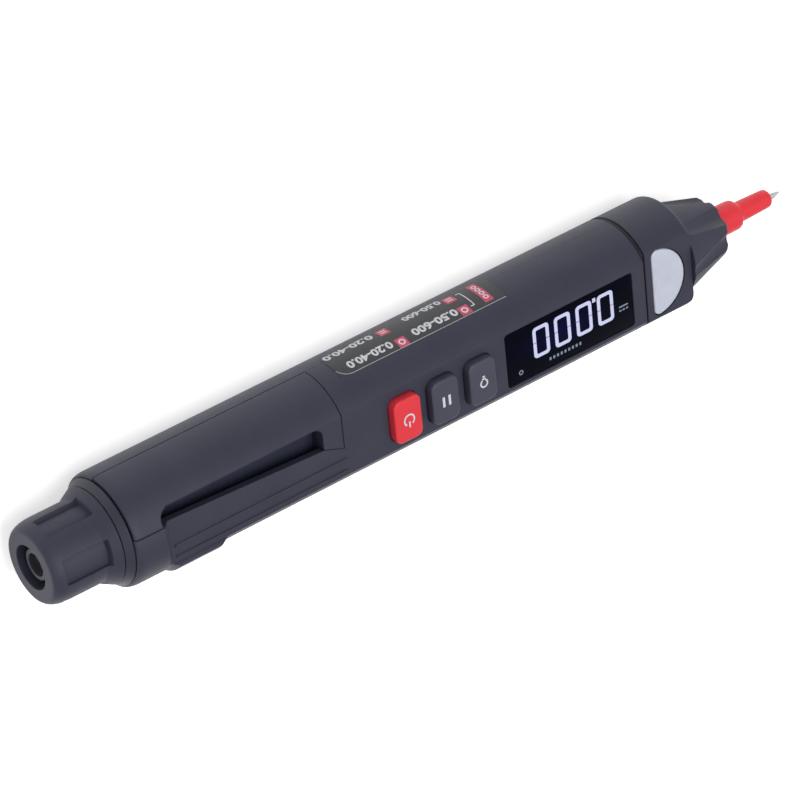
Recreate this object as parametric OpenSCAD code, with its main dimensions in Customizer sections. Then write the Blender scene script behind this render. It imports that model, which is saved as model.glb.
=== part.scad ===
// Pen multimeter: a round pen-shaped housing with a lead socket in its rear cap, a battery
// section, three buttons and a display on its flat face, a lit head and a probe in front.
// X runs along the pen towards the probe tip, Z leaves the display face, and Y is the side
// that carries the printed legend. The origin is on the axis at the mouth of the contact
// in the lead socket. Millimetres.

/* [Body] */
// Room between the battery cells and the wall of the housing
cell_room = 0.35; // [0.3:0.05:0.6]
// Depth that the flat display face cuts off the round body
flat_cut = 2.3; // [2:0.1:2.5]
// Depth that the flat on the back cuts off
rest_cut = 1.1; // [0.8:0.1:1.3]
// Wall of the housing
wall = 1.6; // [1.4:0.1:1.8]
// Distance from the window's front edge to the front end of the main section
window_to_end = 3.3; // [3.3:0.1:6]
// Height of the joint between the two halves, from the axis
parting_z = -1.1; // [-1.6:0.1:-0.6]

/* [Lead socket and cap] */
// Radius of the pin hole in the contact
contact_r = 2.03; // [2:0.01:2.06]
// Wall of the contact tube
contact_wall = 0.5; // [0.4:0.05:0.6]
// Distance of the contact's mouth inside the cap's rim
contact_recess = 3; // [2.5:0.1:4]
// Length of the contact tube
contact_len = 16.5; // [15:0.1:17]
// Outer radius of the insulating tube round the contact
tube_r = 3.4; // [3.2:0.05:3.6]
// Radius of the bore that takes the shroud of a lead's plug
shroud_r = 4.9; // [4.6:0.05:5.2]
// Radius of the cap over its ribs
cap_r = 9.05; // [8.8:0.05:9.4]
// Length of the cap, from its rim to the ring
cap_len = 15.2; // [14.5:0.1:17]
// Length of the ring between the cap and the body
ring_len = 2; // [1.6:0.1:3]
// Number of ribs round the cap
cap_ribs = 5; // [4:1:6]
// Depth of the panels between the ribs
cap_panel_depth = 0.85; // [0.4:0.05:0.95]

/* [Battery bay] */
// Radius of a battery cell
cell_r = 5.25; // [5:0.05:5.25]
// Length of a battery cell without its button
cell_len = 43.7; // [43:0.1:43.7]
// Width of the finger slot at its wide end
slot_w = 5.6; // [4.5:0.1:6]
// Length of the finger slot
slot_len = 41; // [30:0.5:42]
// Depth of the finger slot below the display face
slot_depth = 4; // [2.5:0.1:4.2]

/* [Buttons] */
// Length of a button along the pen
button_len = 6.8; // [6:0.1:7.4]
// Width of a button across the pen
button_w = 10; // [9:0.1:11]
// Height of a button above the display face
button_rise = 2; // [1:0.1:2.2]
// Distance between button centres
button_pitch = 9.7; // [9.2:0.1:10]
// Distance of the first button's centre from the cover's seam
button_from_seam = 15; // [14.8:0.1:16]
// Travel of a button
button_travel = 0.5; // [0.3:0.05:0.6]

/* [Display] */
// Length of the display window
window_len = 33.9; // [30:0.1:34.5]
// Width of the display window
window_w = 12.8; // [11:0.1:13]
// Distance of the window's rear edge from the cover's seam
window_from_seam = 42; // [41.7:0.1:43]
// Thickness of the window pane
pane_t = 1; // [0.8:0.1:1.1]

/* [Head and work light] */
// Length of the head, from its seam to the collar
head_len = 12.5; // [12.2:0.1:15]
// Radius of the D-shaped light lens
lens_r = 7.9; // [7:0.1:8]
// Drop from the display face to the lens face
lens_drop = 1; // [0.7:0.1:1.2]
// Thickness of the lens
lens_t = 1.5; // [1.2:0.1:1.6]

/* [Probe and collar] */
// Length of the twist collar
collar_len = 13; // [12.4:0.1:15]
// Radius of the collar at its wide end
collar_r = 10.4; // [10:0.1:10.8]
// Radius of the collar at its narrow end
collar_nose_r = 6.9; // [6.7:0.1:7.2]
// Number of finger flutes round the collar
flutes = 7; // [6:1:8]
// Radius of the thick part of the insulated probe
probe_r = 3.4; // [3.2:0.05:3.5]
// Radius of the thin part of the insulated probe
probe_thin_r = 2.25; // [2:0.05:2.4]
// Radius of the metal needle
needle_r = 0.9; // [0.8:0.05:1]
// Reach of the needle's point beyond the collar
probe_reach = 19.4; // [18.6:0.1:20]
// Travel of the probe when the collar is turned back
probe_travel = 19.4; // [18:0.1:19.4]
// Turn of the collar that draws the probe in, in degrees
collar_turn = 180; // [180:1:180]

/* [Fits] */
// Running clearance of the collar and the probe, on the radius
running = 0.06; // [0.03:0.01:0.09]
// Gap round the buttons and other loose fits
loose = 0.3; // [0.25:0.05:0.35]
// Width of the seams between covers
seam = 0.2; // [0.15:0.05:0.25]

/* [Hidden] */
$fn = 64;

// Overrun of cuts past the faces that they open
over = 1;

// Section of the body
cell_gap = 0.1;
body_r = 2 * cell_r + cell_gap / 2 + cell_room + wall;
flat_z = body_r - flat_cut;
rest_z = body_r - rest_cut;
lens_z = flat_z - lens_drop;

// Stations along the pen, each from the one behind it
rim_x = -contact_recess;
cap_end_x = rim_x + cap_len;
shell_x = cap_end_x + ring_len;
rear_wall = 1.6;
bay_x = shell_x + rear_wall;
flange_len = 1.6;
cradle_x = shell_x + rear_wall + flange_len + 2 * seam;
cradle_t = 1.2;
spring_len = 2.4;
cell_x = cradle_x + cradle_t + spring_len;
button_end_len = 0.8;
link_t = 0.4;
link_x = cell_x + cell_len + button_end_len;
cradle_end_x = link_x + link_t + cradle_t;
cradle_under = 0.5;
seam_x = cradle_end_x - cradle_under;
window_x = seam_x + window_from_seam;
window_end_x = window_x + window_len;
shell_end_x = window_end_x + window_to_end;
head_gap = 1.2;
head_x = shell_end_x + head_gap;
head_end_x = head_x + head_len;
collar_gap = 0.1;
collar_x = head_end_x + collar_gap;
collar_end_x = collar_x + collar_len;
tip_x = collar_end_x + probe_reach;

// Cap: end radii, rim rounding and the flare to the ring
rim_r = 7.4;
rim_round_len = 4.4;
flare_start_len = 12.2;
flare_r = 10.6;
ring_r = 11.9;
shoulder_len = 2.2;
spigot_r = 8.4;
flange_r = 9.6;
panel_start = 2.7;
panel_end_margin = 2.4;
panel_ramp = 0.9;
panel_share = 0.5;
rib_angle = 45;
annulus_end_x = cap_end_x + ring_len + seam;
mouth_recess = 1.2;
slit_len = 3;
slit_w = 0.3;
tail_len = 1.8;
tail_r = 0.8;

// Battery bay: edges of the cover beside the tongue, from the axis, and the slot in them
edge_rear_y = 3.2;
edge_front_y = 1;
edge_seam_y = -0.9;
slot_start = 6.8;
slot_round = 2.2;
slot_x = shell_x + slot_start;
slot_end_x = slot_x + slot_len;
slot_y = edge_front_y + slot_w;
ramp_len = 2.2;
ramp_x = shell_x + slot_start + ramp_len;
cell_tilt = 10;
cell_offset = cell_r + cell_gap / 2;
trough_t = 0.9;
cradle_gap = 0.2;
spring_wire = 0.4;
spring_coils = 3;
button_end_r = 1.9;
ledge_len = 1.5;
ledge_t = 0.9;
ridge_w = 0.6;
ridge_h = 0.3;
ridge_ys = [-3.4, -6.1];
nub_h = 0.9;
nub_len = 13.5;
nub_ramp = 1.6;
nub_start = 9.2;
nub_angles = [-64, -38];
wire_r = 0.6;
wire_z = -9;
lip_h = 1;
lip_t = 0.7;

// Screws that join the halves in front of the bay
screw_from_seam = 4.6;
screw_x = seam_x + screw_from_seam;
screw_y = 4.8;
screw_r = 0.9;
screw_head_r = 1.9;
screw_head_t = 1.3;
screw_len = 11;
boss_r = 2.5;
boss_joint_z = -4;

// Electronics
board_t = 1.2;
board_z = 4.2;
board_w = 17.6;
board_x = seam_x + screw_from_seam + boss_r + over;
board_front_gap = 5.3;
board_end_x = shell_end_x - board_front_gap;
lead_end_x = board_x + 2 * wire_r + over;
strip_w = 1.2;
lcd_margin = 1.2;
lcd_side = 0.3;
lcd_t = 1.1;
backlight_side = 1;
backlight_t = 1;
window_r = 0.8;
window_drop = 0.15;
sight_margin = 0.8;
pane_z = flat_z - window_drop - pane_t;
lcd_z = flat_z - wall - seam - lcd_t;
backlight_z = lcd_z - backlight_t;
button_xs = [for (i = [0:2]) seam_x + button_from_seam + i * button_pitch];
button_y = -0.2;
button_r = 2;
button_bevel = 0.6;
bevel_share = 0.3;
buzzer_hole_r = 0.65;
flange_lip = 0.6;
key_flange_t = 0.7;
key_flange_z = flat_z - wall - seam - key_flange_t;
pad_t = 0.5;
pad_z = key_flange_z - button_travel - pad_t - seam / 2;
key_post_r = 1.6;
switch_w = 4.4;
switch_cap_r = 1.2;
switch_cap_h = 0.3;
chip_side = 9;
chip_t = 1.4;
chip_from_board = 12.5;
disc_r = 3.2;
disc_t = 1.8;
disc_from_board = 8;
buzzer_r = 5;
buzzer_t = 2.6;
buzzer_from_board = 31;

// Legend label on the +Y side
label_t = 0.2;
label_start = 4.5;
label_len = 43;
label_angles = [66, 108];
label_fit_angle = 0.5;

// Head
gasket_inset = 0.2;
gasket_drop = 1.2;
head_wall = 1.6;
spigot_len = 2;
shoulder_r = 1.1;
head_face_r = body_r - shoulder_r;
lens_from_head = 1.9;
lens_x = head_x + lens_from_head;
lens_centre = 0.55;
lens_corner_r = 1.4;
lens_corner_y = sqrt(pow(lens_r - lens_corner_r, 2) - pow(lens_corner_r - lens_centre, 2));
lens_pocket = 0.2;
lens_ledge_t = 0.7;
light_margin = 1.2;
light_board_t = 0.8;
light_board_len = 6.5;
light_board_w = 9;
led_side = 3;
led_t = 0.7;
antenna_len = 6.8;
antenna_w = 7;
antenna_t = 0.3;
antenna_z = -7.9;
foot_r = 1.2;

// Probe drive: the carrier's pin runs in the sleeve's helix and in the tube's straight slot
sleeve_gap = running;
sleeve_r = probe_r + running;
sleeve_wall = 1.2;
tube_gap = running;
guide_r = sleeve_r + sleeve_wall + tube_gap;
guide_wall = 1.4;
pin_r = 1;
pin_root_r = 1.4;
pin_fit = 0.12;
pin_from_mouth = 8.7;
pin_x = collar_end_x - pin_from_mouth;
pin_angle = -90;
guide_front = 7.2;
guide_end_x = collar_x + guide_front;
sleeve_front = 10.4;
sleeve_end_x = collar_x + sleeve_front;
slot_land = 1.2;
drive_x = pin_x - probe_travel - pin_r - pin_fit - slot_land;
carrier_len = 25;
ring_contact_len = 1.5;
carrier_end_x = pin_x + pin_r + slot_land;
carrier_x = carrier_end_x - carrier_len;
probe_thin_len = 12.6;
probe_step_x = tip_x - probe_thin_len;
probe_step_len = 1.4;
tip_round = 0.7;
probe_bare = 3.4;
insulator_end_x = tip_x - probe_bare;
needle_point = 2.2;
needle_point_r = 0.15;
needle_shank_r = 0.75;
wiper_t = 0.25;
wiper_w = 2;
helix_steps = 30;
nose_bevel = 0.9;
flute_r = 3;
flute_depth = 1.5;
flute_rear_depth = 0.1;
flute_angle = 46.4;

// Colours
body_color = [0.24, 0.25, 0.29];
dark_color = [0.13, 0.14, 0.17];
red_color = [0.9, 0.2, 0.22];
probe_color = [0.97, 0.3, 0.3];
metal_color = [0.78, 0.78, 0.78];
brass_color = [0.8, 0.65, 0.3];
board_color = [0.1, 0.35, 0.2];
lens_color = [0.8, 0.81, 0.86];

// Points on an arc about [cx, cy], from angle a0 to a1 in n steps
function arc(cx, cy, r, a0, a1, n) =
    [for (i = [0:n]) let (a = a0 + (a1 - a0) * i / n) [cx + r * cos(a), cy + r * sin(a)]];

// Points on a quarter of an ellipse, with a half axis along each coordinate
function bend(cx, cy, rx, ry, a0, a1, n) =
    [for (i = [0:n]) let (a = a0 + (a1 - a0) * i / n) [cx + rx * cos(a), cy + ry * sin(a)]];

// Extrudes a Y-Z section along the pen
module along_x(x0, x1) {
    translate([x0, 0, 0]) rotate([90, 0, 90]) linear_extrude(height = x1 - x0) children();
}

// Turns a profile of [radius, x] points about the pen's axis
module turned(from = 0, sweep = 360) {
    rotate([90, 0, 90]) rotate([0, 0, from]) rotate_extrude(angle = sweep) children();
}

module rod_x(x0, x1, r) {
    translate([x0, 0, 0]) rotate([0, 90, 0]) cylinder(h = x1 - x0, r = r);
}

module box(x0, x1, y0, y1, z0, z1) {
    translate([x0, y0, z0]) cube([x1 - x0, y1 - y0, z1 - z0]);
}

// Rectangle with round corners, centred
module round_rect(l, w, r) {
    square([l - 2 * r, w], center = true);
    square([l, w - 2 * r], center = true);
    for (sx = [-1, 1], sy = [-1, 1])
        translate([sx * (l / 2 - r), sy * (w / 2 - r)]) circle(r = r);
}

// Section of the body with the back flat only, and with both flats
module back_section(inset) {
    intersection() {
        circle(r = body_r - inset);
        translate([-body_r, inset - rest_z]) square([2 * body_r, rest_z + body_r]);
    }
}

module body_section(inset) {
    intersection() {
        back_section(inset);
        translate([-body_r, -rest_z]) square([2 * body_r, rest_z + flat_z - inset]);
    }
}

// Everything above the display face, with the ramp at its rear end
module above_display(x1) {
    translate([0, body_r + over, 0]) rotate([90, 0, 0])
        linear_extrude(height = 2 * (body_r + over))
            polygon([[ramp_x - ramp_len, body_r], [ramp_x, flat_z], [x1, flat_z],
                [x1, body_r + over], [ramp_x - ramp_len, body_r + over]]);
}

// Both halves of the housing as one tube
module housing() {
    difference() {
        intersection() {
            along_x(shell_x, shell_end_x) back_section(0);
            turned() polygon(concat([[0, shell_x]],
                bend(ring_r, shell_x + shoulder_len, body_r - ring_r, shoulder_len, -90, 0, 5),
                [[body_r, shell_end_x], [0, shell_end_x]]));
        }
        above_display(shell_end_x + over);
        along_x(bay_x, shell_end_x + over) body_section(wall);
        rod_x(shell_x - over, bay_x + over, spigot_r + seam);
    }
}

module above_parting(gap) {
    box(rim_x, tip_x, -2 * body_r, 2 * body_r, parting_z + gap, 2 * body_r);
}

// Plan of the battery opening: the cover's edge runs beside the tongue
module opening_plan(gap) {
    polygon([[shell_x - over + gap * (over + seam) / seam, edge_rear_y + gap],
        [slot_x, edge_rear_y + gap], [slot_end_x, edge_front_y + gap],
        [seam_x - gap, edge_seam_y + gap], [seam_x - gap, 2 * body_r],
        [shell_x - over + gap * (over + seam) / seam, 2 * body_r]]);
}

// Skin over the battery opening
module opening_skin(gap) {
    difference() {
        translate([0, 0, parting_z + gap]) linear_extrude(height = 2 * body_r) opening_plan(gap);
        along_x(shell_x - 2 * over, seam_x + over) body_section(wall);
    }
}

// Label recess: a thin curved sheet with one corner rounded on the side
module label_sheet(grow, t0, t1) {
    intersection() {
        turned(90 - label_angles[1] - grow, label_angles[1] - label_angles[0] + 2 * grow)
            polygon([[body_r - t0, seam_x + label_start], [body_r + t1, seam_x + label_start],
                [body_r + t1, seam_x + label_start + label_len],
                [body_r - t0, seam_x + label_start + label_len]]);
    }
}

// Hole through the display face for a button, and the ledge that carries the window
module button_hole(x) {
    translate([x, button_y, flat_z - wall - over]) linear_extrude(height = wall + 2 * over)
        round_rect(button_len + 2 * loose, button_w + 2 * loose, button_r + loose);
}

module window_hole() {
    cx = window_x + window_len / 2;
    translate([cx, 0, pane_z]) linear_extrude(height = pane_t + over)
        round_rect(window_len + seam, window_w + seam, window_r);
    translate([cx, 0, flat_z - wall - over]) linear_extrude(height = wall + over)
        round_rect(window_len - 2 * sight_margin, window_w - 2 * sight_margin, window_r);
}

module screw_places() {
    for (s = [-1, 1]) translate([screw_x, s * screw_y, 0]) children();
}

// Lip of the lower half that nests inside the upper one
module lip(gap) {
    along_x(seam_x + wall + seam - gap, shell_end_x - spigot_len - over + gap)
        intersection() {
            difference() {
                body_section(wall - lip_t - gap);
                body_section(wall);
            }
            translate([-body_r, parting_z - over]) square([2 * body_r, lip_h + over + gap]);
        }
}

module upper_shell() color(body_color) {
    difference() {
        union() {
            intersection() {
                housing();
                above_parting(0);
            }
            // two fine ridges on the tongue beside the cover
            for (y = ridge_ys)
                box(ramp_x + over, seam_x, y - ridge_w / 2, y + ridge_w / 2,
                    flat_z - wall / 2, flat_z + ridge_h);
            // low nub on the edge of the face that stops the pen rolling
            turned(90 - nub_angles[1], nub_angles[1] - nub_angles[0])
                polygon([[body_r - wall / 2, shell_x + nub_start],
                    [body_r, shell_x + nub_start],
                    [body_r + nub_h, shell_x + nub_start + nub_ramp],
                    [body_r + nub_h, shell_x + nub_start + nub_len - nub_ramp],
                    [body_r, shell_x + nub_start + nub_len],
                    [body_r - wall / 2, shell_x + nub_start + nub_len]]);
            // screw bosses
            intersection() {
                screw_places() translate([0, 0, boss_joint_z])
                    cylinder(h = flat_z - boss_joint_z, r = boss_r);
                along_x(seam_x, shell_end_x) body_section(wall / 2);
            }
        }
        opening_skin(0);
        lip(seam);
        window_hole();
        for (x = button_xs) button_hole(x);
        label_sheet(0, label_t + seam / 2, over);
        screw_places() translate([0, 0, boss_joint_z - over])
            cylinder(h = screw_len, r = screw_r + seam / 3);
        above_nub_flat();
    }
    // ledge under the cover's front edge
    intersection() {
        along_x(seam_x - ledge_len, seam_x + wall) difference() {
            body_section(wall + seam);
            body_section(wall + ledge_t);
        }
        box(seam_x - ledge_len, seam_x + wall, edge_seam_y, body_r, parting_z + seam, body_r);
    }
    intersection() {
        along_x(seam_x, seam_x + wall) difference() {
            body_section(wall / 2);
            body_section(wall + ledge_t);
        }
        box(seam_x, seam_x + wall, edge_seam_y, body_r, parting_z + seam, body_r);
    }
}

// The nub ends level with the display face
module above_nub_flat() {
    box(shell_x + nub_start - over, shell_x + nub_start + nub_len + over,
        -2 * body_r, -body_r / 2, flat_z, 2 * body_r);
}

module lower_shell() color(body_color) {
    difference() {
        union() {
            difference() {
                housing();
                above_parting(0);
            }
            lip(0);
            intersection() {
                screw_places() translate([0, 0, -rest_z])
                    cylinder(h = rest_z + boss_joint_z - seam, r = boss_r);
                along_x(seam_x, shell_end_x) back_section(wall / 2);
            }
        }
        label_sheet(0, label_t + seam / 2, over);
        screw_places() translate([0, 0, -rest_z - over]) {
            cylinder(h = rest_z + over, r = screw_r + loose);
            cylinder(h = over + screw_head_t + loose, r = screw_head_r + loose);
        }
    }
}

module battery_cover() color(body_color) {
    difference() {
        intersection() {
            housing_skin();
            opening_skin(seam);
        }
        slot_cut();
    }
}

// Outer wall of the rear section without the rear bulkhead
module housing_skin() {
    difference() {
        housing();
        along_x(shell_x - over, bay_x + over) body_section(wall);
    }
}

// The finger slot, open towards the tongue
module slot_cut() {
    translate([0, 0, flat_z - wall - over]) linear_extrude(height = body_r) union() {
        translate([slot_x, edge_seam_y]) square([slot_len, slot_y - edge_seam_y - slot_round]);
        translate([slot_x + slot_round, edge_seam_y])
            square([slot_len - 2 * slot_round, slot_y - edge_seam_y]);
        for (x = [slot_x + slot_round, slot_end_x - slot_round])
            translate([x, slot_y - slot_round]) circle(r = slot_round);
    }
}

module socket_cap() color(body_color) {
    difference() {
        turned() polygon(concat([[0, rim_x]],
            bend(rim_r, rim_x + rim_round_len, cap_r - rim_r, rim_round_len, -90, 0, 6),
            [[cap_r, rim_x + flare_start_len]],
            [[(cap_r + flare_r) / 2, (rim_x + flare_start_len + cap_end_x) / 2]],
            [[flare_r, cap_end_x], [spigot_r, cap_end_x], [spigot_r, bay_x + seam],
                [flange_r, bay_x + seam], [flange_r, bay_x + seam + flange_len],
                [0, bay_x + seam + flange_len]]));
        // the flange is flat on top, so the cap can't turn
        box(bay_x, bay_x + 2 * flange_len, -body_r, body_r, flat_z - wall - seam, body_r);
        rod_x(rim_x - over, annulus_end_x, shroud_r);
        rod_x(annulus_end_x - over, bay_x + flange_len + over, tube_r);
        // sunk panels between the ribs
        for (i = [0:cap_ribs - 1])
            turned(rib_angle + (i + (1 - panel_share) / 2) * 360 / cap_ribs,
                panel_share * 360 / cap_ribs)
                polygon([[cap_r - cap_panel_depth, rim_x + panel_start],
                    [cap_r + 2 * over, rim_x + panel_start],
                    [cap_r + 2 * over, cap_end_x - panel_end_margin + panel_ramp],
                    [cap_r - cap_panel_depth, cap_end_x - panel_end_margin]]);
    }
}

module cap_ring() color(body_color) intersection() {
    turned() polygon([[spigot_r + seam, cap_end_x + seam], [flare_r, cap_end_x + seam],
        [ring_r - seam, shell_x - seam], [spigot_r + seam, shell_x - seam]]);
    along_x(cap_end_x, shell_x) back_section(0);
}

module socket_insulator() color(dark_color) {
    turned() polygon([[contact_r + contact_wall, -contact_recess + mouth_recess],
        [tube_r, -contact_recess + mouth_recess], [tube_r, bay_x + seam + flange_len],
        [contact_r + contact_wall, bay_x + seam + flange_len]]);
}

module socket_contact() color(brass_color) {
    difference() {
        union() {
            rod_x(0, contact_len, contact_r + contact_wall);
            rod_x(contact_len, contact_len + tail_len, tail_r);
        }
        rod_x(-over, contact_len - contact_wall, contact_r);
        // slits that let the mouth grip a pin
        box(-over, slit_len, -slit_w / 2, slit_w / 2, -contact_r - over, contact_r + over);
    }
}

// Insulated wire from the socket's tail along the bay to the main board
module socket_lead() color([0.75, 0.1, 0.1]) {
    x0 = contact_len + tail_len + wire_r;
    x1 = lead_end_x;
    rise(x0, wire_z, -tail_r / 2);
    translate([0, 0, wire_z]) rod_x(x0, x1, wire_r);
    rise(x1, wire_z, board_z + board_t);
    for (x = [x0, x1]) translate([x, 0, wire_z]) sphere(r = wire_r);
}
module rise(x, z0, z1) {
    translate([x, 0, z0]) cylinder(h = z1 - z0, r = wire_r);
}

module cell_place(s) {
    a = cell_tilt;
    translate([0, s * cell_offset * cos(a), -s * cell_offset * sin(a)]) children();
}

module battery_cell(s, flip) {
    cell_place(s) {
        color([0.2, 0.2, 0.22]) rod_x(cell_x + flip * button_end_len,
            cell_x + cell_len + flip * button_end_len, cell_r);
        color(metal_color) if (flip == 1)
            rod_x(cell_x, cell_x + button_end_len, button_end_r);
        else
            rod_x(cell_x + cell_len, cell_x + cell_len + button_end_len, button_end_r);
    }
}
module battery_cell_1() battery_cell(1, 0);
module battery_cell_2() battery_cell(-1, 1);

module battery_springs() color(metal_color) {
    for (s = [-1, 1]) cell_place(s) {
        rod_x(cradle_x + cradle_t, cradle_x + cradle_t + spring_wire, cell_r - over);
        // stepped cone of closed turns up to the cell
        for (i = [0:spring_coils - 1])
            rod_x(cradle_x + cradle_t, cradle_x + cradle_t + spring_wire
                + (i + 1) * (spring_len - spring_wire) / spring_coils,
                button_end_r + (spring_coils - 1 - i) * 2 * spring_wire);
    }
}

module battery_link_plate() color(metal_color) {
    intersection() {
        box(link_x, link_x + link_t, -body_r, body_r, -cell_r, cell_r - over);
        rod_x(link_x - over, link_x + over, body_r - wall - ledge_t - cradle_gap);
    }
}

// Frame of the bay: two end plates joined by the trough that floors the finger slot
module battery_cradle() color(dark_color) {
    floor_z = flat_z - slot_depth;
    difference() {
        union() {
            for (x = [cradle_x, cradle_end_x - cradle_t])
                along_x(x, x + cradle_t) body_section(wall + ledge_t + cradle_gap);
            along_x(cradle_x, cradle_end_x) intersection() {
                body_section(wall + ledge_t + cradle_gap);
                translate([edge_seam_y - trough_t, floor_z - trough_t])
                    square([slot_y - edge_seam_y + 2 * trough_t, body_r]);
            }
            // side walls of the trough rise to just under the tongue and the cover
            along_x(slot_x - trough_t, slot_end_x + trough_t) intersection() {
                body_section(wall + cradle_gap);
                translate([edge_seam_y - trough_t, floor_z - trough_t])
                    square([slot_y - edge_seam_y + 2 * trough_t, body_r]);
            }
        }
        box(slot_x, slot_end_x, edge_seam_y, slot_y, floor_z, body_r);
        // ways for the wire
        for (w = [[cradle_x, 0], [cradle_end_x - cradle_t, wire_z + 2 * wire_r]])
            box(w[0] - over, w[0] + cradle_t + over, -2 * wire_r, 2 * wire_r, -body_r, w[1]);
        // relief round the socket's tail
        rod_x(cradle_x - over, cradle_x + cradle_t + over, tail_r + loose + wire_r);
    }
}

module case_screws() color(metal_color) {
    screw_places() {
        translate([0, 0, -rest_z + loose]) cylinder(h = screw_head_t, r = screw_head_r);
        translate([0, 0, -rest_z + loose]) cylinder(h = screw_len, r = screw_r);
    }
}

module main_board() color(board_color) {
    difference() {
        box(board_x, board_end_x, -board_w / 2, board_w / 2, board_z, board_z + board_t);
        translate([lead_end_x, 0, board_z - over]) cylinder(h = board_t + 2 * over, r = wire_r);
    }
}

module meter_chip() color(dark_color) {
    x = board_x + chip_from_board;
    box(x, x + chip_side, -chip_side / 2, chip_side / 2, board_z - chip_t, board_z);
}

module input_thermistor() color([0.15, 0.3, 0.5]) {
    translate([board_x + disc_from_board, board_w / 4, board_z - disc_t])
        cylinder(h = disc_t, r = disc_r);
}

module buzzer() color(dark_color) {
    translate([board_x + buzzer_from_board, 0, board_z - buzzer_t]) difference() {
        cylinder(h = buzzer_t, r = buzzer_r);
        translate([0, 0, -over]) cylinder(h = over + buzzer_t / 2, r = buzzer_hole_r);
    }
}

module key_switches() color(metal_color) {
    for (x = button_xs) {
        box(x - switch_w / 2, x + switch_w / 2, button_y - switch_w / 2, button_y + switch_w / 2,
            board_z + board_t, pad_z - seam - switch_cap_h);
        translate([x, button_y, board_z + board_t])
            cylinder(h = pad_z - seam - board_z - board_t, r = switch_cap_r);
    }
}

module key_pad() color(dark_color) {
    x0 = button_xs[0] - button_len / 2 - flange_lip;
    x1 = button_xs[2] + button_len / 2 + flange_lip;
    w = button_w / 2 + flange_lip;
    box(x0, x1, button_y - w, button_y + w, pad_z, pad_z + pad_t);
}

// A key cap: a flange under the face and a body with a bevelled top through it
module key_cap(x) {
    translate([x, button_y, 0]) {
        translate([0, 0, key_flange_z]) linear_extrude(height = key_flange_t)
            round_rect(button_len + 2 * (loose + flange_lip), button_w + 2 * (loose + flange_lip),
                button_r);
        intersection() {
            translate([0, 0, key_flange_z]) linear_extrude(height = body_r)
                round_rect(button_len, button_w, button_r);
            rotate([90, 0, 90]) key_profile(button_w / 2, button_len);
            rotate([90, 0, 0]) key_profile(button_len / 2, button_w);
        }
    }
}

// Height profile of a key with its two bevels, long enough to cross the key
module key_profile(half, cross) {
    top = flat_z + button_rise;
    near = button_bevel * bevel_share;
    far = button_bevel - near;
    linear_extrude(height = cross + 2 * over, center = true)
        polygon([[-half - 2 * near, key_flange_z], [half + 2 * near, key_flange_z],
            [half + 2 * near, top - button_bevel - 2 * far], [half - near, top - near],
            [half - button_bevel, top], [button_bevel - half, top],
            [near - half, top - near], [-half - 2 * near, top - button_bevel - 2 * far]]);
}
module power_button() color(red_color) key_cap(button_xs[0]);
module hold_button() color(body_color) key_cap(button_xs[1]);
module function_button() color(body_color) key_cap(button_xs[2]);

module backlight_panel() color([0.95, 0.95, 0.9])
    box(window_x - lcd_margin, window_end_x + lcd_margin, -window_w / 2 - backlight_side,
        window_w / 2 + backlight_side, backlight_z, lcd_z);

module lcd_glass() color([0.05, 0.06, 0.12])
    box(window_x - lcd_margin, window_end_x + lcd_margin, -window_w / 2 - lcd_side,
        window_w / 2 + lcd_side, lcd_z, lcd_z + lcd_t);

module elastomer_strips() color([0.7, 0.7, 0.75])
    for (s = [-1, 1])
        box(window_x + lcd_margin, board_end_x - lcd_margin,
            s * (window_w / 2 - strip_w) - strip_w / 2, s * (window_w / 2 - strip_w) + strip_w / 2,
            board_z + board_t, backlight_z);

module display_window() color([0.03, 0.03, 0.05])
    translate([window_x + window_len / 2, 0, pane_z]) linear_extrude(height = pane_t)
        round_rect(window_len, window_w, window_r - seam / 2);

module legend_label() color([0.3, 0.3, 0.3]) label_sheet(-label_fit_angle, label_t, 0);

module head_gasket() color(dark_color)
    along_x(shell_end_x + seam / 2, head_x - seam / 2) difference() {
        intersection() {
            back_section(gasket_inset);
            translate([-body_r, -rest_z]) square([2 * body_r, rest_z + flat_z - gasket_drop]);
        }
        body_section(wall);
    }

// D outline of the lens, its flat side towards the buttons
module lens_plan(grow) {
    translate([lens_x, 0]) {
        intersection() {
            translate([lens_centre, 0]) circle(r = lens_r + grow);
            translate([lens_corner_r, -2 * lens_r]) square([2 * lens_r, 4 * lens_r]);
        }
        translate([-grow, -lens_corner_y]) square([lens_corner_r + 2 * grow, 2 * lens_corner_y]);
        for (s = [-1, 1])
            translate([lens_corner_r, s * lens_corner_y]) circle(r = lens_corner_r + grow);
    }
}

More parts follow.
